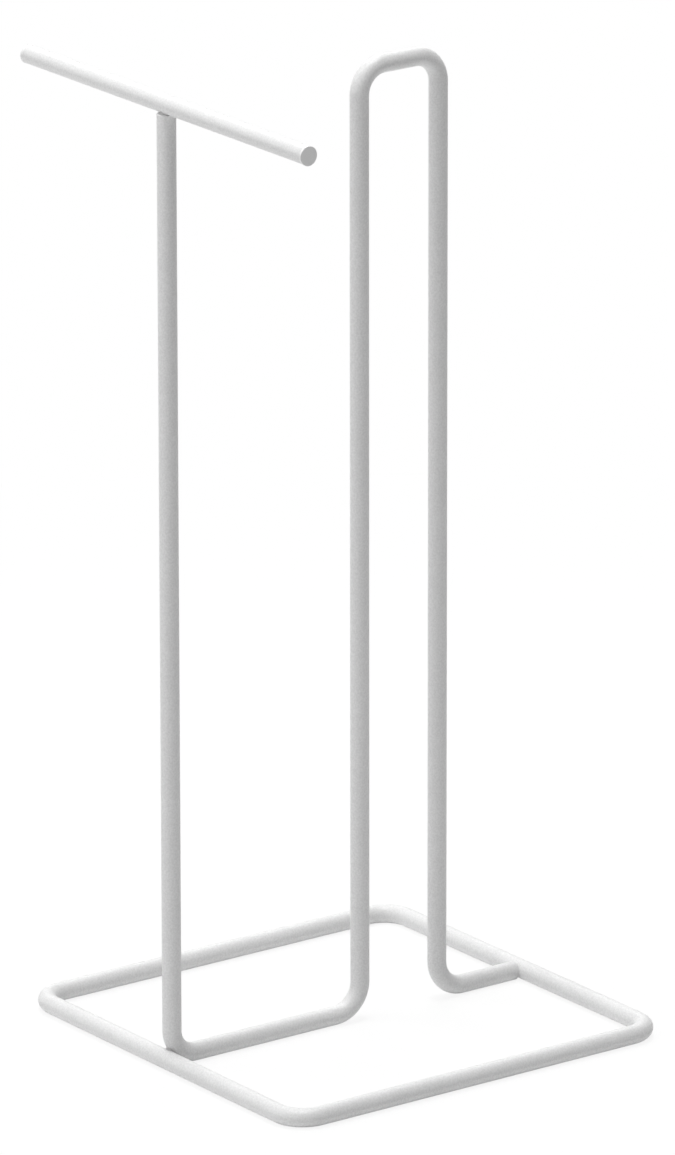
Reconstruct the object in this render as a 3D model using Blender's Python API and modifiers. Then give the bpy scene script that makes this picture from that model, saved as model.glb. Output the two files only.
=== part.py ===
"""Free-standing toilet paper roll holder, bent from round steel rod and powder coated.

A rounded square of rod lies on the floor. One long rod starts under the cross bar as
the riser, bends back behind the front rail, runs along the floor, climbs and returns as
the narrow arch that holds the spare rolls, and ends as a tail against the rear rail.
The cross bar is a short tube with a push-in plug in each end. The roll in use hangs on
either half of it.

All lengths are in metres. +X runs along the cross bar, -Y is the front and +Z is up.
The origin is on the floor, at the middle of the base.
"""

from math import cos, pi, sin, sqrt, tan

import bmesh
import bpy
from mathutils import Matrix, Vector

# Rod stock
ROD_DIAMETER = 0.0083  # 8 mm wire under a thick powder coat
ROD_SIDES = 32
BEND_STEPS = 12

# Base ring, measured over the rod
BASE_WIDTH = 0.2000
BASE_DEPTH = 0.2000
BASE_CORNER_RADIUS = 0.0125  # to the rod's centre line, as are the bends below
RING_JOINT_OFFSET = 0.0480  # from the middle of the rear rail to the joint in the ring
RING_WELD_WIDTH = 0.0016

# Upright rod
OVERALL_HEIGHT = 0.4305
FLOOR_BEND_RADIUS = 0.0132
ARCH_BEND_RADIUS = 0.0125
ARCH_LEG_SPACING = 0.0416  # between the centre lines of the two tall legs
TAIL_REACH = 0.0460  # from the rear leg's centre line to the rear rail's

# Cross bar and its end plugs
BAR_LENGTH = 0.1988
BAR_DIAMETER = 0.0080
BAR_WALL = 0.0010
PLUG_FLANGE_LIP = 0.0002  # how far the flange stands out past the bar all round
PLUG_FLANGE_THICKNESS = 0.0010
PLUG_EDGE_RADIUS = 0.0004
PLUG_STEM_LENGTH = 0.0090
PLUG_RIB_HEIGHT = 0.0004
PLUG_RIB_LENGTH = 0.0016
PLUG_RIBS = 3
PLUG_EDGE_STEPS = 3

# Weld beads, each an oval blob in the wedge between two rods
WELD_LENGTH = 0.0056
WELD_THICKNESS = 0.0020
WELD_PLACE_SHARE = 0.65  # of the rod's radius, from the line of contact out into the wedge
WELD_SEGMENTS = 16
WELD_RINGS = 10

SEAT_GAP = 0.0003  # between pieces that touch on the real stand
MERGE_DISTANCE = 0.00001
SHARP_ANGLE = pi / 6

# Places that follow from the sizes above
rod_radius = ROD_DIAMETER / 2
bar_radius = BAR_DIAMETER / 2
floor_line = rod_radius * cos(pi / ROD_SIDES)  # centre height of a rod that lies on a facet
rail_x = BASE_WIDTH / 2 - rod_radius
rail_y = BASE_DEPTH / 2 - rod_radius
bend_to_rail = FLOOR_BEND_RADIUS + ROD_DIAMETER + SEAT_GAP  # bend centre to front rail's centre
riser_bend_y = sqrt(bend_to_rail**2 - FLOOR_BEND_RADIUS**2) - rail_y
riser_y = riser_bend_y - FLOOR_BEND_RADIUS
rear_leg_y = rail_y - TAIL_REACH
front_leg_y = rear_leg_y - ARCH_LEG_SPACING
tail_end_y = rail_y - rod_radius - SEAT_GAP
arch_line = OVERALL_HEIGHT - rod_radius
bar_line = OVERALL_HEIGHT - bar_radius
riser_top = bar_line - bar_radius - SEAT_GAP
ring_joint_x = -RING_JOINT_OFFSET

LEFT_TO_RIGHT = Vector((1, 0, 0))
BACKWARD = Vector((0, 1, 0))
UP = Vector((0, 0, 1))


def clear_scene():
    for old in list(bpy.data.objects):
        bpy.data.objects.remove(old, do_unlink=True)


def new_collection(name):
    collection = bpy.data.collections.new(name)
    bpy.context.scene.collection.children.link(collection)
    return collection


def plain_material(name, colour, roughness, metallic):
    material = bpy.data.materials.new(name)
    material.use_nodes = True
    shader = material.node_tree.nodes["Principled BSDF"]
    shader.inputs["Base Color"].default_value = (*colour, 1.0)
    shader.inputs["Roughness"].default_value = roughness
    shader.inputs["Metallic"].default_value = metallic
    material.diffuse_color = (*colour, 1.0)
    return material


def powder_coat(name):
    """Matt white paint baked on steel: it hides the metal, so it isn't metallic itself."""
    return plain_material(name, (0.84, 0.84, 0.83), 0.45, 0.0)


def white_plastic(name):
    return plain_material(name, (0.82, 0.82, 0.81), 0.50, 0.0)


def rounded_path(corners, bend_radii):
    """The points of a path from the first corner to the last, with an arc at each between."""
    points = [corners[0]]
    for before, corner, after, bend_radius in zip(corners, corners[1:], corners[2:], bend_radii):
        back = (before - corner).normalized()
        ahead = (after - corner).normalized()
        half_angle = back.angle(ahead) / 2
        centre = corner + (back + ahead).normalized() * bend_radius / sin(half_angle)
        first = corner + back * bend_radius / tan(half_angle) - centre
        axis = ahead.cross(back)
        for step in range(BEND_STEPS + 1):
            turn = Matrix.Rotation((pi - 2 * half_angle) * step / BEND_STEPS, 3, axis)
            points.append(centre + turn @ first)
    points.append(corners[-1])
    return points


def rod_along(name, path, radius, collection):
    """A round rod on the path, with flat ends and a facet of its section facing down."""
    curve = bpy.data.curves.new(name, "CURVE")
    curve.dimensions = "3D"
    curve.twist_mode = "MINIMUM"
    curve.bevel_depth = radius
    curve.bevel_resolution = (ROD_SIDES - 4) // 2
    curve.use_fill_caps = True
    spline = curve.splines.new("POLY")
    spline.points.add(len(path) - 1)
    for point, place in zip(spline.points, path):
        point.co = (*place, 1.0)
        point.tilt = pi / ROD_SIDES
    rod = bpy.data.objects.new(name, curve)
    collection.objects.link(rod)
    return rod


def made_mesh(curve_object, collection):
    """The curve as a closed mesh object of the same name, ready for a Boolean."""
    bpy.context.view_layer.update()
    graph = bpy.context.evaluated_depsgraph_get()
    mesh = bpy.data.meshes.new_from_object(curve_object.evaluated_get(graph))
    shape = bmesh.new()
    shape.from_mesh(mesh)
    bmesh.ops.remove_doubles(shape, verts=shape.verts, dist=MERGE_DISTANCE)
    shape.to_mesh(mesh)
    shape.free()
    name = curve_object.name
    made = bpy.data.objects.new(name, mesh)
    made.matrix_world = curve_object.matrix_world
    bpy.data.objects.remove(curve_object, do_unlink=True)
    made.name = name
    collection.objects.link(made)
    return made


def turned(name, profile, closed, collection):
    """The profile of radii and heights, turned about the object's Z axis."""
    mesh = bpy.data.meshes.new(name)
    points = [(radius, 0, height) for radius, height in profile]
    edges = [(i, i + 1) for i in range(len(points) - 1)]
    if closed:
        edges.append((len(points) - 1, 0))
    mesh.from_pydata(points, edges, [])
    piece = bpy.data.objects.new(name, mesh)
    screw = piece.modifiers.new("Turn", "SCREW")
    screw.steps = ROD_SIDES
    screw.render_steps = ROD_SIDES
    screw.use_merge_vertices = True
    screw.merge_threshold = MERGE_DISTANCE
    screw.use_smooth_shade = True
    collection.objects.link(piece)
    return piece


def ring_path():
    """The base ring's path, from one side of its joint round to the other."""
    half_joint = RING_WELD_WIDTH / 2 + SEAT_GAP
    corners = [
        Vector((ring_joint_x + half_joint, rail_y, floor_line)),
        Vector((rail_x, rail_y, floor_line)),
        Vector((rail_x, -rail_y, floor_line)),
        Vector((-rail_x, -rail_y, floor_line)),
        Vector((-rail_x, rail_y, floor_line)),
        Vector((ring_joint_x - half_joint, rail_y, floor_line)),
    ]
    return rounded_path(corners, [BASE_CORNER_RADIUS] * 4)


def upright_path(overrun):
    """Riser, runner, arch and tail, with overrun added to both ends of the rod."""
    corners = [
        Vector((0, riser_y, riser_top + overrun)),
        Vector((0, riser_y, floor_line)),
        Vector((0, front_leg_y, floor_line)),
        Vector((0, front_leg_y, arch_line)),
        Vector((0, rear_leg_y, arch_line)),
        Vector((0, rear_leg_y, floor_line)),
        Vector((0, tail_end_y + overrun, floor_line)),
    ]
    floor, arch = FLOOR_BEND_RADIUS, ARCH_BEND_RADIUS
    return rounded_path(corners, [floor, floor, arch, arch, floor])


def make_base_ring(collection):
    ring = rod_along("base_ring", ring_path(), rod_radius, collection)
    ring.data.materials.append(powder_coat("base_ring_coat"))


def make_base_ring_weld(collection):
    """The butt weld that closes the ring, dressed flush with the rod."""
    half = LEFT_TO_RIGHT * RING_WELD_WIDTH / 2
    middle = Vector((ring_joint_x, rail_y, floor_line))
    weld = rod_along("base_ring_weld", [middle - half, middle + half], rod_radius, collection)
    weld.data.materials.append(powder_coat("base_ring_weld_coat"))


def make_upright_rod(collection):
    rod = rod_along("upright_rod", upright_path(0), rod_radius, collection)
    rod.data.materials.append(powder_coat("upright_rod_coat"))


def make_cross_bar(collection):
    half = BAR_LENGTH / 2
    bore_radius = bar_radius - BAR_WALL
    profile = [(bar_radius, half), (bar_radius, -half), (bore_radius, -half), (bore_radius, half)]
    bar = turned("cross_bar", profile, True, collection)
    bar.location = (0, riser_y, bar_line)
    bar.rotation_euler = (0, pi / 2, 0)
    bar.data.materials.append(powder_coat("cross_bar_coat"))


def plug_profile():
    """Half section of a plug, from the middle of its face round its edge and down the stem."""
    flange_radius = bar_radius + PLUG_FLANGE_LIP
    rib_radius = bar_radius - BAR_WALL - SEAT_GAP
    stem_radius = rib_radius - PLUG_RIB_HEIGHT
    rib_pitch = (PLUG_STEM_LENGTH - PLUG_RIB_LENGTH) / PLUG_RIBS
    profile = [(0, PLUG_FLANGE_THICKNESS)]
    for step in range(PLUG_EDGE_STEPS + 1):
        angle = pi / 2 * step / PLUG_EDGE_STEPS
        profile.append(
            (
                flange_radius - PLUG_EDGE_RADIUS * (1 - sin(angle)),
                PLUG_FLANGE_THICKNESS - PLUG_EDGE_RADIUS * (1 - cos(angle)),
            )
        )
    profile += [(flange_radius, 0), (stem_radius, 0)]
    for rib in range(PLUG_RIBS):
        shoulder = -PLUG_RIB_LENGTH / 2 - rib * rib_pitch
        profile.append((stem_radius, shoulder))
        profile.append((rib_radius, shoulder))
        profile.append((stem_radius, shoulder - PLUG_RIB_LENGTH))
    profile += [
        (stem_radius, PLUG_RIB_HEIGHT - PLUG_STEM_LENGTH),
        (stem_radius - PLUG_RIB_HEIGHT, -PLUG_STEM_LENGTH),
        (0, -PLUG_STEM_LENGTH),
    ]
    return profile


def make_end_plug(name, side, collection):
    plug = turned(name, plug_profile(), False, collection)
    plug.location = (side * (BAR_LENGTH / 2 + SEAT_GAP), riser_y, bar_line)
    plug.rotation_euler = (0, side * pi / 2, 0)
    plug.data.materials.append(white_plastic(name + "_plastic"))


def wedge_middle(rod_axis, radius, towards, aside, far_surface):
    """Where a bead lies, in the wedge beside the line where a rod meets another piece.

    rod_axis is a point on the rod's centre line, towards points from it to the other
    piece, aside points out into the wedge, and far_surface(offset) is how far the other
    piece's surface is from rod_axis at that offset.
    """
    offset = WELD_PLACE_SHARE * rod_radius
    near_surface = sqrt(radius**2 - offset**2)
    middle = (near_surface + far_surface(offset)) / 2
    return rod_axis + aside * offset + towards * middle


def make_weld(name, middle, cutters, collection):
    mesh = bpy.data.meshes.new(name)
    shape = bmesh.new()
    bmesh.ops.create_uvsphere(
        shape, u_segments=WELD_SEGMENTS, v_segments=WELD_RINGS, radius=WELD_THICKNESS / 2
    )
    stretch = Vector((WELD_LENGTH / WELD_THICKNESS, 1, 1))
    bmesh.ops.scale(shape, vec=stretch, verts=shape.verts)
    shape.to_mesh(mesh)
    shape.free()
    mesh.shade_smooth()
    mesh.set_sharp_from_angle(angle=SHARP_ANGLE)
    bead = bpy.data.objects.new(name, mesh)
    bead.location = middle
    bead.data.materials.append(powder_coat(name + "_coat"))
    collection.objects.link(bead)
    for cutter in cutters:
        cut = bead.modifiers.new("Clear of " + cutter.name, "BOOLEAN")
        cut.operation = "DIFFERENCE"
        cut.solver = "EXACT"
        cut.object = cutter


def make_clearance(name, path, radius, collection):
    """A fatter copy of a rod, which the weld beads beside it are cut back from."""
    cutter = made_mesh(rod_along(name, path, radius + SEAT_GAP, collection), collection)
    cutter.hide_render = True
    cutter.display_type = "WIRE"
    return cutter


def make_bar_welds(upright, collection, helpers):
    """Two beads between the square top of the riser and the round of the cross bar."""
    middle = Vector((0, riser_y, bar_line))
    half = LEFT_TO_RIGHT * BAR_LENGTH / 2
    bar = make_clearance("bar_clearance", [middle - half, middle + half], bar_radius, helpers)

    def riser_end(_):
        return bar_radius + SEAT_GAP

    for name, aside in (("tee_weld_front", -BACKWARD), ("tee_weld_rear", BACKWARD)):
        place = wedge_middle(middle, bar_radius, -UP, aside, riser_end)
        make_weld(name, place, (bar, upright), collection)


def rail_clearance(name, middle, helpers):
    half = LEFT_TO_RIGHT * (rail_x - BASE_CORNER_RADIUS)
    return make_clearance(name, [middle - half, middle + half], rod_radius, helpers)


def make_tail_welds(upright, collection, helpers):
    """Two beads between the square end of the tail and the round of the rear rail."""
    middle = Vector((0, rail_y, floor_line))
    rail = rail_clearance("rear_rail_clearance", middle, helpers)

    def tail_end(_):
        return rod_radius + SEAT_GAP

    for name, aside in (("tail_weld_top", UP), ("tail_weld_under", -UP)):
        place = wedge_middle(middle, rod_radius, -BACKWARD, aside, tail_end)
        make_weld(name, place, (rail, upright), collection)


def make_front_weld(upright, collection, helpers):
    """One bead under the line where the riser's lower bend lies against the front rail."""
    middle = Vector((0, -rail_y, floor_line))
    rail = rail_clearance("front_rail_clearance", middle, helpers)
    bend_centre = Vector((0, riser_bend_y, floor_line + FLOOR_BEND_RADIUS))
    towards = (bend_centre - middle).normalized()

    def bend_outside(offset):
        return bend_to_rail - sqrt((FLOOR_BEND_RADIUS + rod_radius) ** 2 - offset**2)

    place = wedge_middle(middle, rod_radius, towards, towards.cross(LEFT_TO_RIGHT), bend_outside)
    make_weld("front_weld", place, (rail, upright), collection)


def main():
    clear_scene()
    parts = new_collection("paper_roll_holder")
    helpers = new_collection("cutters")
    make_base_ring(parts)
    make_base_ring_weld(parts)
    make_upright_rod(parts)
    make_cross_bar(parts)
    make_end_plug("left_end_plug", -1, parts)
    make_end_plug("right_end_plug", 1, parts)
    upright = make_clearance("upright_clearance", upright_path(SEAT_GAP), rod_radius, helpers)
    make_bar_welds(upright, parts, helpers)
    make_tail_welds(upright, parts, helpers)
    make_front_weld(upright, parts, helpers)


main()
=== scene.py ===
"""The looks of the free-standing paper roll holder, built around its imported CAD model.

Every CAD node is replaced by a finer piece in the same place: round rods with smooth
bends and softened cut ends, a tube with push-in end plugs, and the small weld beads that
hold the frame together. Lengths are in metres, in the CAD model's own frame.
"""

from math import cos, pi, radians, sin, sqrt, tan

import bpy
from mathutils import Matrix, Vector, noise


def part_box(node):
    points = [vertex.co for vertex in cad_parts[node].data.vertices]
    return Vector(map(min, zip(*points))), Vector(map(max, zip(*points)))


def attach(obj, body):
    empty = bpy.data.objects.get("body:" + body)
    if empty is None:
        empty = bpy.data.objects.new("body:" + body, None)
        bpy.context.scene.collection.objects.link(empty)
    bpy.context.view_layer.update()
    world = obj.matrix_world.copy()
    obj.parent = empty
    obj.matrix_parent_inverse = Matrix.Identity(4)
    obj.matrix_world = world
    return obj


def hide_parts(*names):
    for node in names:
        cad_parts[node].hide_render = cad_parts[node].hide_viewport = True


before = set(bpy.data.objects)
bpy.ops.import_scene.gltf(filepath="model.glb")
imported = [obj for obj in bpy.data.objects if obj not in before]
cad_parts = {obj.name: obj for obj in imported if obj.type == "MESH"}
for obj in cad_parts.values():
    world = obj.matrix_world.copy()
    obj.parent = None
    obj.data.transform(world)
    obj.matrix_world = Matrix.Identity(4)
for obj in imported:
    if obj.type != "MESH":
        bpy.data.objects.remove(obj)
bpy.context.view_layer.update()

ALONG = Vector((1, 0, 0))
BACKWARD = Vector((0, 1, 0))
UP = Vector((0, 0, 1))

# Sizes that a node's box doesn't give, as in the CAD source
BASE_CORNER_RADIUS = 0.0125
FLOOR_BEND_RADIUS = 0.0132
ARCH_BEND_RADIUS = 0.0125
ARCH_LEG_SPACING = 0.0416
TAIL_REACH = 0.0460
BAR_WALL = 0.0010

# Fineness of the meshes
ROD_SIDES = 72
BEND_STEPS = 28
EDGE_STEPS = 5
RIM_STEPS = 10
DOME_STEPS = 6
RING_WELD_STEPS = 24
BEAD_SIDES = 32
BEAD_STEPS = 40

# Small forms of the rods, the tube and its plugs
CUT_EDGE_RADIUS = 0.00035  # the coat softens a sawn end
JOINT_OVERLAP = 0.00003  # how far touching pieces run into each other
FUSED_OVERLAP = 0.00020  # the same where the two rods melt together at the base ring
MOUTH_EDGE_RADIUS = 0.00010
PLUG_STEM_LENGTH = 0.0040
PLUG_RISE_LENGTH = 0.0010  # along the bar, in which the rim rises from the tube
PLUG_RIM_RADIUS = 0.00015
PLUG_DOME = 0.00004

# The ring's butt weld. The dip and the unevenness are shares of how proud it stands.
RING_WELD_SLEEVE = 0.0052
RING_WELD_PROUD = 0.00002
RING_WELD_DIP = 1.2  # at its two ends, which lie under the ring's surface
RING_WELD_UNEVENNESS = 0.6
RING_WELD_LUMPS = 900  # to the metre

# The other weld beads. The ripples and the unevenness are shares of their thickness.
BEAD_SIZE_SHARE = 0.55  # of the CAD bead, across it
BEAD_SINK_SHARE = 0.50  # of the way from the CAD bead's middle to the line of contact
BEAD_RIPPLES = 5  # to half the bead's length
BEAD_RIPPLE_DEPTH = 0.05
BEAD_UNEVENNESS = 0.06
BEAD_LUMPS = 4  # to half the bead's length
BEAD_NOISE_SHIFT = 50  # to the metre, so that no two beads are alike
FRONT_BEAD_HALF_LENGTH = 0.0026  # along the rail
FRONT_BEAD_REACH = 0.0024  # up and down from the point of contact, between the rods
FRONT_BEAD_HALF_THICKNESS = 0.0006

# Finishes. A pattern is a noise's lumps to the metre, detail and roughness, a range is
# what it is stretched to, and a relief is a bump's height and strength.
NOISE_LOW = 0.3  # nearly all of a noise pattern lies between these two
NOISE_HIGH = 0.7
COAT_TONE = 0.85
COAT_SPECULAR = 0.50
COAT_CLOUD_PATTERN = (60, 3, 0.5)
COAT_CLOUD_RANGE = (0.98, 1.0)
COAT_GRAIN_PATTERN = (1300, 1, 0.5)
COAT_GRAIN_RANGE = (0.88, 1.0)
COAT_ROUGHNESS_PATTERN = (900, 2, 0.5)
COAT_ROUGHNESS_RANGE = (0.38, 0.48)
COAT_PEEL_PATTERN = (1250, 1, 0.4)
COAT_PEEL_RELIEF = (0.00016, 0.8)
COAT_GRIT_PATTERN = (6500, 2, 0.6)
COAT_GRIT_RELIEF = (0.000008, 0.5)
PLASTIC_TONE = 0.91
PLASTIC_SPECULAR = 0.40
PLASTIC_CLOUD_PATTERN = (150, 2, 0.5)
PLASTIC_CLOUD_RANGE = (0.98, 1.0)
PLASTIC_ROUGHNESS_PATTERN = (2500, 2, 0.5)
PLASTIC_ROUGHNESS_RANGE = (0.46, 0.56)
PLASTIC_GRAIN_PATTERN = (9000, 2, 0.6)
PLASTIC_GRAIN_RELIEF = (0.000006, 0.5)

# Camera, fitted to the photograph. Angles are in degrees, the lens and sensor in mm.
CAMERA_AZIMUTH = 53.700
CAMERA_ELEVATION = 17.737
CAMERA_ROLL = -0.074
CAMERA_DISTANCE = 4.7336
CAMERA_TARGET = Vector((0, 0, 0.2208))
CAMERA_RIGHT_SHIFT = -0.00282
CAMERA_UP_SHIFT = -0.01787
CAMERA_LENS = 345.57
CAMERA_SENSOR = 36.0

# Light: one dim even fill, and softboxes by azimuth, elevation, size and watts
FILL_STRENGTH = 0.105
SOFTBOX_DISTANCE = 4.0
SOFTBOXES = {
    "top_softbox": (0, 88, 1.2, 112),
    "front_left_softbox": (-30, 45, 2.6, 41),
    "front_low_softbox": (10, 15, 2.6, 18),
    "back_left_softbox": (-120, 45, 2.6, 44),
}
WHITE_GLOW = 1.0  # the strength that is seen as pure white

# Floor: its tone as a reflector, and the shadow that it shows
FLOOR_HALF = 30.0
FLOOR_TONE = 0.865
SHADOW_DEPTH = 0.12
SHADOW_NEAR = 0.35  # from the object's middle, where the shadow starts to fade
SHADOW_FAR = 0.80  # and where it is gone

# Places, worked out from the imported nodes
ring_low, ring_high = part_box("base_ring")
upright_low, upright_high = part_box("upright_rod")
bar_low, bar_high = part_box("cross_bar")
rod_radius = (upright_high.x - upright_low.x) / 2
floor_line = rod_radius
rail_x = ring_high.x - rod_radius
rail_y = ring_high.y - rod_radius
riser_y = upright_low.y + rod_radius
rear_leg_y = rail_y - TAIL_REACH
front_leg_y = rear_leg_y - ARCH_LEG_SPACING
arch_line = upright_high.z - rod_radius
bar_radius = (bar_high.z - bar_low.z) / 2
bore_radius = bar_radius - BAR_WALL
bar_line = bar_high.z - bar_radius
bar_half = bar_high.x
bar_middle = Vector((0, riser_y, bar_line))
front_rail = Vector((0, -rail_y, floor_line))
riser_top = Vector((0, riser_y, bar_line - bar_radius))
tail_end = Vector((0, rail_y - rod_radius, floor_line))


def touching_bend_radius():
    """The radius that lays the riser's lower bend against the front rail, fused to it."""
    inset = riser_y + rail_y
    apart = 2 * rod_radius - FUSED_OVERLAP
    return apart - inset + sqrt((apart - inset) ** 2 + apart**2 - inset**2)


def way_to_bend():
    """From the front rail's axis towards the riser's lower bend, where they touch."""
    bend_radius = touching_bend_radius()
    bend_centre = Vector((0, riser_y + bend_radius, floor_line + bend_radius))
    return (bend_centre - front_rail).normalized()


def rounded_path(corners, bend_radii):
    """Points and directions along a path through corners, with an arc for each bend."""
    path = [(corners[0], (corners[1] - corners[0]).normalized())]
    bends = zip(corners, corners[1:], corners[2:], bend_radii)
    for before, corner, after, bend_radius in bends:
        back = (before - corner).normalized()
        ahead = (after - corner).normalized()
        half_angle = back.angle(ahead) / 2
        centre = corner + (back + ahead).normalized() * bend_radius / sin(half_angle)
        first = corner + back * bend_radius / tan(half_angle) - centre
        axis = ahead.cross(back)
        for step in range(BEND_STEPS + 1):
            turn = Matrix.Rotation((pi - 2 * half_angle) * step / BEND_STEPS, 3, axis)
            path.append((centre + turn @ first, turn @ -back))
    path.append((corners[-1], (corners[-1] - corners[-2]).normalized()))
    return path


def add_object(name, data):
    """A new object in the scene, made from a mesh, a lamp or a camera."""
    added = bpy.data.objects.new(name, data)
    bpy.context.scene.collection.objects.link(added)
    return added


def skin(name, rings, loop):
    """A mesh over rings of points: closed on itself, or with a flat cap at each end."""
    count = len(rings[0])
    points = [point for ring in rings for point in ring]
    faces = []
    for i in range(len(rings) if loop else len(rings) - 1):
        here = i * count
        there = (i + 1) % len(rings) * count
        for j in range(count):
            k = (j + 1) % count
            faces.append((here + j, here + k, there + k, there + j))
    if not loop:
        last = (len(rings) - 1) * count
        faces.append(tuple(reversed(range(count))))
        faces.append(tuple(range(last, last + count)))
    mesh = bpy.data.meshes.new(name)
    mesh.from_pydata(points, [], faces)
    mesh.validate()
    mesh.shade_smooth()
    return add_object(name, mesh)


def ring_about(place, direction, side, radius):
    """Points round place, in the plane square to direction. side is any way across it."""
    other = direction.cross(side)
    ring = []
    for j in range(ROD_SIDES):
        angle = 2 * pi * j / ROD_SIDES
        ring.append(place + radius * (cos(angle) * side + sin(angle) * other))
    return ring


def softened_end(place, direction, side, radius, outward):
    """Rings that round a cut end's edge over, from the full radius to the flat face."""
    rings = []
    for step in range(EDGE_STEPS + 1):
        angle = pi / 2 * step / EDGE_STEPS
        inset = CUT_EDGE_RADIUS * (1 - sin(angle))
        ring_radius = radius - CUT_EDGE_RADIUS * (1 - cos(angle))
        rings.append(ring_about(place - outward * inset, direction, side, ring_radius))
    return rings


def swept_rod(name, path, side, radius, loop):
    """A round rod along a path that lies in the plane square to side."""
    rings = [ring_about(place, way, side, radius) for place, way in path]
    if not loop:
        start, start_way = path[0]
        end, end_way = path[-1]
        first = softened_end(start, start_way, side, radius, -start_way)
        last = softened_end(end, end_way, side, radius, end_way)
        rings = first[::-1] + rings[1:-1] + last
    return skin(name, rings, loop)


def turned_rings(middle, outward, profile):
    """Rings on the line through middle, from pairs of radius and distance outward."""
    return [
        ring_about(middle + outward * distance, outward, UP, radius)
        for radius, distance in profile
    ]


def link(tree, socket_from, socket_to):
    tree.links.new(socket_from, socket_to)


def link_or_set(tree, value, socket):
    """Link the value to the socket, or set it there if it is a plain number."""
    if isinstance(value, float):
        socket.default_value = value
    else:
        link(tree, value, socket)


def combined(tree, operation, first, second):
    """Two values put together by a Math node."""
    node = tree.nodes.new("ShaderNodeMath")
    node.operation = operation
    link_or_set(tree, first, node.inputs[0])
    link(tree, second, node.inputs[1])
    return node.outputs["Value"]


def noise_of(tree, scale, detail, roughness):
    """A noise pattern fixed to the object, scale lumps to the metre."""
    coordinates = tree.nodes.new("ShaderNodeTexCoord")
    pattern = tree.nodes.new("ShaderNodeTexNoise")
    pattern.inputs["Scale"].default_value = scale
    pattern.inputs["Detail"].default_value = detail
    pattern.inputs["Roughness"].default_value = roughness
    link(tree, coordinates.outputs["Object"], pattern.inputs["Vector"])
    return pattern.outputs["Fac"]


def spread(tree, source, low, high):
    """The source pattern, stretched to run from low to high."""
    stretch = tree.nodes.new("ShaderNodeMapRange")
    stretch.inputs["From Min"].default_value = NOISE_LOW
    stretch.inputs["From Max"].default_value = NOISE_HIGH
    stretch.inputs["To Min"].default_value = low
    stretch.inputs["To Max"].default_value = high
    link(tree, source, stretch.inputs["Value"])
    return stretch.outputs["Result"]


def bumped(tree, height, distance, strength, normal=None):
    """A normal tilted by the height pattern, over the given normal if there is one."""
    bump = tree.nodes.new("ShaderNodeBump")
    bump.inputs["Distance"].default_value = distance
    bump.inputs["Strength"].default_value = strength
    link(tree, height, bump.inputs["Height"])
    if normal is not None:
        link(tree, normal, bump.inputs["Normal"])
    return bump.outputs["Normal"]


def tinted(tree, tone, *shades):
    """A grey of the given tone, darkened by each shade pattern."""
    for shade in shades:
        tone = combined(tree, "MULTIPLY", tone, shade)
    return tone


def new_finish(name, specular):
    """A material that is no metal, with its node tree and its shader's inputs."""
    material = bpy.data.materials.new(name)
    material.use_nodes = True
    tree = material.node_tree
    inputs = tree.nodes["Principled BSDF"].inputs
    inputs["Metallic"].default_value = 0.0
    inputs["Specular IOR Level"].default_value = specular
    return material, tree, inputs


def powder_coat(name):
    """White powder coat: soft orange peel, fine grit and a faint unevenness of tone."""
    material, tree, inputs = new_finish(name, COAT_SPECULAR)
    cloud = spread(tree, noise_of(tree, *COAT_CLOUD_PATTERN), *COAT_CLOUD_RANGE)
    grain = spread(tree, noise_of(tree, *COAT_GRAIN_PATTERN), *COAT_GRAIN_RANGE)
    link(tree, tinted(tree, COAT_TONE, cloud, grain), inputs["Base Color"])
    rough = spread(tree, noise_of(tree, *COAT_ROUGHNESS_PATTERN), *COAT_ROUGHNESS_RANGE)
    link(tree, rough, inputs["Roughness"])
    peel = bumped(tree, noise_of(tree, *COAT_PEEL_PATTERN), *COAT_PEEL_RELIEF)
    grit = bumped(tree, noise_of(tree, *COAT_GRIT_PATTERN), *COAT_GRIT_RELIEF, peel)
    link(tree, grit, inputs["Normal"])
    return material


def moulded_plastic(name):
    """White moulded plastic with a fine spark-eroded grain."""
    material, tree, inputs = new_finish(name, PLASTIC_SPECULAR)
    cloud = spread(tree, noise_of(tree, *PLASTIC_CLOUD_PATTERN), *PLASTIC_CLOUD_RANGE)
    link(tree, tinted(tree, PLASTIC_TONE, cloud), inputs["Base Color"])
    uneven = noise_of(tree, *PLASTIC_ROUGHNESS_PATTERN)
    link(tree, spread(tree, uneven, *PLASTIC_ROUGHNESS_RANGE), inputs["Roughness"])
    grain = bumped(tree, noise_of(tree, *PLASTIC_GRAIN_PATTERN), *PLASTIC_GRAIN_RELIEF)
    link(tree, grain, inputs["Normal"])
    return material


def place_piece(piece, nodes, material):
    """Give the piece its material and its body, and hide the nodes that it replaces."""
    piece.data.materials.append(material)
    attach(piece, "root")
    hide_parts(*nodes)


def make_base_ring(coat):
    """The floor ring, one closed loop of rod."""
    joint = Vector((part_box("base_ring_weld")[0].x, rail_y, floor_line))
    corners = [
        joint,
        Vector((rail_x, rail_y, floor_line)),
        Vector((rail_x, -rail_y, floor_line)),
        Vector((-rail_x, -rail_y, floor_line)),
        Vector((-rail_x, rail_y, floor_line)),
        joint,
    ]
    path = rounded_path(corners, [BASE_CORNER_RADIUS] * 4)[:-1]
    ring = swept_rod("base_ring_rod", path, UP, rod_radius, True)
    place_piece(ring, ["base_ring"], coat)


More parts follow.
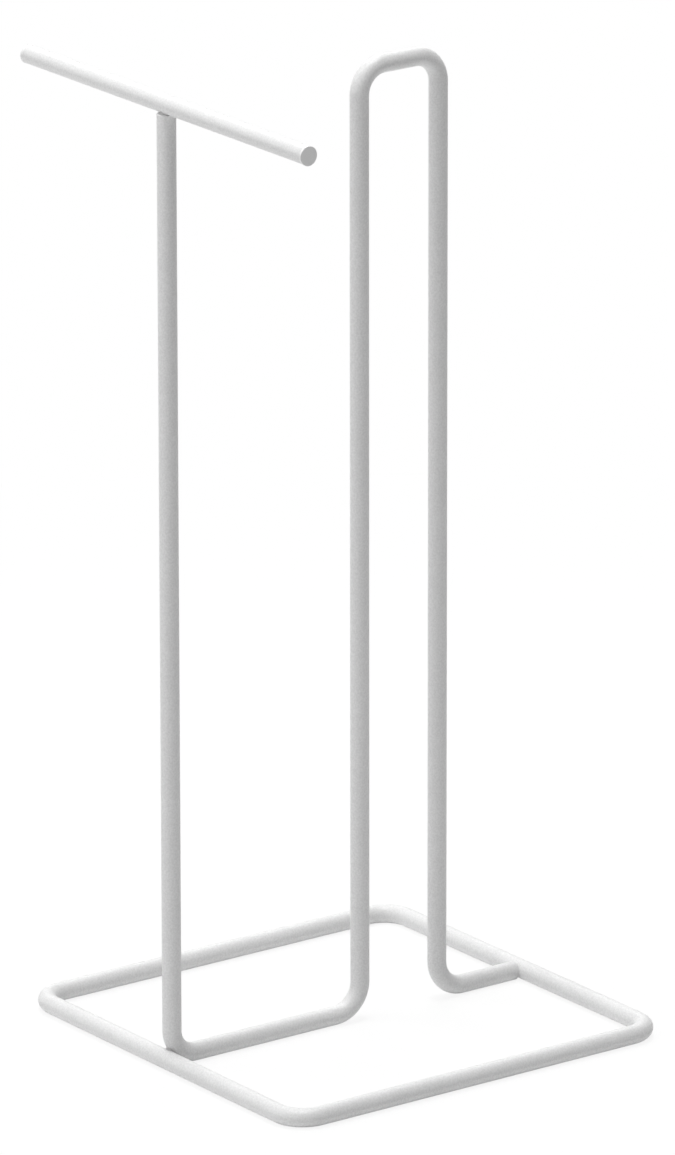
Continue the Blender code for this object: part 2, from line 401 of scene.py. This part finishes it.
def make_base_ring_weld(coat):
    """The dressed butt weld: a sleeve, unevenly and only a hair proud of the ring."""
    low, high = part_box("base_ring_weld")
    joint = Vector(((low.x + high.x) / 2, rail_y, floor_line))
    middle = joint + (UP - BACKWARD) * RING_WELD_PROUD
    rings = []
    for i in range(RING_WELD_STEPS + 1):
        share = 2 * i / RING_WELD_STEPS - 1
        place = middle + ALONG * share * RING_WELD_SLEEVE / 2
        crown = (1 + RING_WELD_DIP) * cos(pi / 2 * share) - RING_WELD_DIP
        ring = []
        for point in ring_about(place, ALONG, UP, rod_radius):
            out = (point - place).normalized()
            uneven = noise.noise(point * RING_WELD_LUMPS) * RING_WELD_UNEVENNESS
            rise = RING_WELD_PROUD * (crown + uneven)
            ring.append(point + out * (rise - RING_WELD_PROUD / 2))
        rings.append(ring)
    weld = skin("base_ring_weld_bead", rings, False)
    place_piece(weld, ["base_ring_weld"], coat)


def make_upright(coat):
    """Riser, floor runner, arch and tail, bent from one rod."""
    corners = [
        riser_top + UP * JOINT_OVERLAP,
        Vector((0, riser_y, floor_line)),
        Vector((0, front_leg_y, floor_line)),
        Vector((0, front_leg_y, arch_line)),
        Vector((0, rear_leg_y, arch_line)),
        Vector((0, rear_leg_y, floor_line)),
        tail_end + BACKWARD * FUSED_OVERLAP,
    ]
    floor, arch = FLOOR_BEND_RADIUS, ARCH_BEND_RADIUS
    path = rounded_path(corners, [touching_bend_radius(), floor, arch, arch, floor])
    rod = swept_rod("upright_bent_rod", path, ALONG, rod_radius, False)
    place_piece(rod, ["upright_rod"], coat)


def make_cross_bar(coat):
    """The tube, open at both ends, with softened edges at its mouths."""
    mouth = []
    for step in range(EDGE_STEPS + 1):
        angle = pi / 2 * step / EDGE_STEPS
        radius = bar_radius - MOUTH_EDGE_RADIUS * (1 - cos(angle))
        mouth.append((radius, bar_half - MOUTH_EDGE_RADIUS * (1 - sin(angle))))
    mouth.append((bore_radius, bar_half))
    left_mouth = [(radius, -distance) for radius, distance in reversed(mouth)]
    rings = turned_rings(bar_middle, ALONG, left_mouth + mouth)
    bar = skin("cross_bar_tube", rings, True)
    place_piece(bar, ["cross_bar"], coat)


def make_end_plug(side, node, plastic):
    """A push-in plug: its rim rises softly from the tube to a slightly domed face."""
    low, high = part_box(node)
    face = max(abs(low.x), abs(high.x))
    rim = (high.z - low.z) / 2
    profile = [(bore_radius, bar_half - PLUG_STEM_LENGTH), (bore_radius, bar_half)]
    for step in range(RIM_STEPS + 1):
        share = step / RIM_STEPS
        rise = (rim - bar_radius) * (1 - cos(pi * share)) / 2
        profile.append((bar_radius + rise, bar_half + PLUG_RISE_LENGTH * share))
    for step in range(RIM_STEPS + 1):
        angle = pi / 2 * step / RIM_STEPS
        radius = rim - PLUG_RIM_RADIUS * (1 - cos(angle))
        profile.append((radius, face - PLUG_DOME - PLUG_RIM_RADIUS * (1 - sin(angle))))
    flat = rim - PLUG_RIM_RADIUS
    for step in range(1, DOME_STEPS + 1):
        share = step / (DOME_STEPS + 0.5)  # short of the middle, which the cap closes
        profile.append((flat * (1 - share), face - PLUG_DOME * (1 - share) ** 2))
    plug = skin(node + "_cap", turned_rings(bar_middle, ALONG * side, profile), False)
    place_piece(plug, [node], plastic)


def make_bead(node, middle, along, across, outward, coat):
    """A weld bead, rippled by its few steps. Three vectors give its half sizes."""
    rings = []
    for i in range(BEAD_STEPS + 1):
        share = 2 * (i + 0.5) / (BEAD_STEPS + 1) - 1
        ripple = 1 + BEAD_RIPPLE_DEPTH * cos(BEAD_RIPPLES * 2 * pi * share)
        swell = sqrt(1 - share**2) * ripple
        ring = []
        for j in range(BEAD_SIDES):
            angle = 2 * pi * j / BEAD_SIDES
            spot = Vector((share * BEAD_LUMPS, cos(angle), sin(angle)))
            lump = noise.noise(spot + middle * BEAD_NOISE_SHIFT)
            way = across * cos(angle) + outward * sin(angle)
            uneven = 1 + BEAD_UNEVENNESS * lump
            ring.append(middle + along * share + way * swell * uneven)
        rings.append(ring)
    bead = skin(node + "_bead", rings, False)
    place_piece(bead, [node], coat)


def make_sunk_bead(node, contact, coat):
    """A bead deep in the wedge between two rods, towards the line where they touch."""
    low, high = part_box(node)
    middle = ((low + high) / 2).lerp(contact, BEAD_SINK_SHARE)
    half = (high - low) / 2
    across = BACKWARD * half.y * BEAD_SIZE_SHARE
    outward = UP * half.z * BEAD_SIZE_SHARE
    make_bead(node, middle, ALONG * half.x, across, outward, coat)


def make_front_bead(coat):
    """The bead round the spot where the riser's lower bend touches the front rail."""
    outward = way_to_bend()
    contact = front_rail + outward * rod_radius
    along = ALONG * FRONT_BEAD_HALF_LENGTH
    across = ALONG.cross(outward) * FRONT_BEAD_REACH
    thickness = outward * FRONT_BEAD_HALF_THICKNESS
    make_bead("front_weld", contact, along, across, thickness, coat)


def make_object():
    """All the pieces, in white powder coat and white plastic."""
    coat = powder_coat("white_powder_coat")
    plastic = moulded_plastic("white_moulded_plastic")
    make_base_ring(coat)
    make_base_ring_weld(coat)
    make_upright(coat)
    make_cross_bar(coat)
    make_end_plug(-1, "left_end_plug", plastic)
    make_end_plug(1, "right_end_plug", plastic)
    make_sunk_bead("tee_weld_front", riser_top, coat)
    make_sunk_bead("tee_weld_rear", riser_top, coat)
    make_sunk_bead("tail_weld_top", tail_end, coat)
    make_sunk_bead("tail_weld_under", tail_end, coat)
    make_front_bead(coat)


def paper(tree, tone):
    """A matt shader of the given grey."""
    shader = tree.nodes.new("ShaderNodeBsdfDiffuse")
    shader.inputs["Color"].default_value = (tone, tone, tone, 1.0)
    return shader.outputs["BSDF"]


def glow(tree, strength):
    """A white light of the given strength."""
    shader = tree.nodes.new("ShaderNodeEmission")
    shader.inputs["Strength"].default_value = strength
    return shader.outputs["Emission"]


def blended(tree, share, first, second):
    """The first shader where share is 0, and the second where it is 1."""
    mix = tree.nodes.new("ShaderNodeMixShader")
    link(tree, share, mix.inputs["Fac"])
    link(tree, first, mix.inputs[1])
    link(tree, second, mix.inputs[2])
    return mix.outputs["Shader"]


def far_from_object(tree):
    """0 round the object, rising to 1 away from it."""
    coordinates = tree.nodes.new("ShaderNodeTexCoord")
    distance = tree.nodes.new("ShaderNodeVectorMath")
    distance.operation = "LENGTH"
    link(tree, coordinates.outputs["Object"], distance.inputs[0])
    rise = tree.nodes.new("ShaderNodeMapRange")
    rise.interpolation_type = "SMOOTHSTEP"
    rise.inputs["From Min"].default_value = SHADOW_NEAR
    rise.inputs["From Max"].default_value = SHADOW_FAR
    link(tree, distance.outputs["Value"], rise.inputs["Value"])
    return rise.outputs["Result"]


def seen_directly(tree):
    """1 for a ray from the camera or off a glossy or clear surface, and 0 for others."""
    path = tree.nodes.new("ShaderNodeLightPath")
    seen = path.outputs["Is Camera Ray"]
    for ray in ("Is Glossy Ray", "Is Transmission Ray"):
        seen = combined(tree, "MAXIMUM", seen, path.outputs[ray])
    return seen


def make_floor():
    """A white floor. Seen directly, it keeps a faint soft shadow close to the object."""
    half = FLOOR_HALF
    mesh = bpy.data.meshes.new("studio_floor")
    corners = [(-half, -half, 0), (half, -half, 0), (half, half, 0), (-half, half, 0)]
    mesh.from_pydata(corners, [], [(0, 1, 2, 3)])
    floor = add_object("studio_floor", mesh)
    material = bpy.data.materials.new("studio_floor_white")
    material.use_nodes = True
    tree = material.node_tree
    tree.nodes.remove(tree.nodes["Principled BSDF"])
    shadowed = tree.nodes.new("ShaderNodeAddShader")
    link(tree, paper(tree, SHADOW_DEPTH), shadowed.inputs[0])
    link(tree, glow(tree, WHITE_GLOW - SHADOW_DEPTH), shadowed.inputs[1])
    far = far_from_object(tree)
    seen = blended(tree, far, shadowed.outputs["Shader"], glow(tree, WHITE_GLOW))
    surface = blended(tree, seen_directly(tree), paper(tree, FLOOR_TONE), seen)
    link(tree, surface, tree.nodes["Material Output"].inputs["Surface"])
    mesh.materials.append(material)


def make_world():
    """White where it is seen, and a dim even fill light otherwise."""
    world = bpy.data.worlds.new("studio")
    bpy.context.scene.world = world
    world.use_nodes = True
    tree = world.node_tree
    background = tree.nodes["Background"]
    strength = tree.nodes.new("ShaderNodeMapRange")
    strength.inputs["To Min"].default_value = FILL_STRENGTH
    strength.inputs["To Max"].default_value = WHITE_GLOW
    link(tree, seen_directly(tree), strength.inputs["Value"])
    background.inputs["Color"].default_value = (1.0, 1.0, 1.0, 1.0)
    link(tree, strength.outputs["Result"], background.inputs["Strength"])


def view_direction(azimuth, elevation):
    """From the object towards a viewer. Azimuth 0 looks along +Y and 90 along -X."""
    turn, rise = radians(azimuth), radians(elevation)
    return Vector((sin(turn) * cos(rise), -cos(turn) * cos(rise), sin(rise)))


def make_softbox(name, azimuth, elevation, size, watts):
    """A square lamp that faces the object and that the camera doesn't see."""
    lamp = bpy.data.lights.new(name, "AREA")
    lamp.shape = "SQUARE"
    lamp.size = size
    lamp.energy = watts
    softbox = add_object(name, lamp)
    softbox.visible_camera = False
    way = view_direction(azimuth, elevation)
    softbox.location = CAMERA_TARGET + way * SOFTBOX_DISTANCE
    softbox.rotation_euler = way.to_track_quat("Z", "Y").to_euler()


def make_camera():
    """The photograph's camera, rolled and shifted a little, as the fit found it."""
    lens = bpy.data.cameras.new("photo_camera")
    lens.lens = CAMERA_LENS
    lens.sensor_width = CAMERA_SENSOR
    camera = add_object("photo_camera", lens)
    back = view_direction(CAMERA_AZIMUTH, CAMERA_ELEVATION)
    level_right = UP.cross(back).normalized()
    level_up = back.cross(level_right)
    roll = radians(CAMERA_ROLL)
    right = level_right * cos(roll) + level_up * sin(roll)
    up = back.cross(right)
    place = (
        CAMERA_TARGET
        + level_right * CAMERA_RIGHT_SHIFT
        + level_up * CAMERA_UP_SHIFT
        + back * CAMERA_DISTANCE
    )
    facing = Matrix((right, up, back)).transposed().to_4x4()
    camera.matrix_world = Matrix.Translation(place) @ facing
    bpy.context.scene.camera = camera


make_camera()
make_object()
make_floor()
make_world()
for name, (azimuth, elevation, size, watts) in SOFTBOXES.items():
    make_softbox(name, azimuth, elevation, size, watts)
bpy.context.scene.view_settings.view_transform = "Standard"
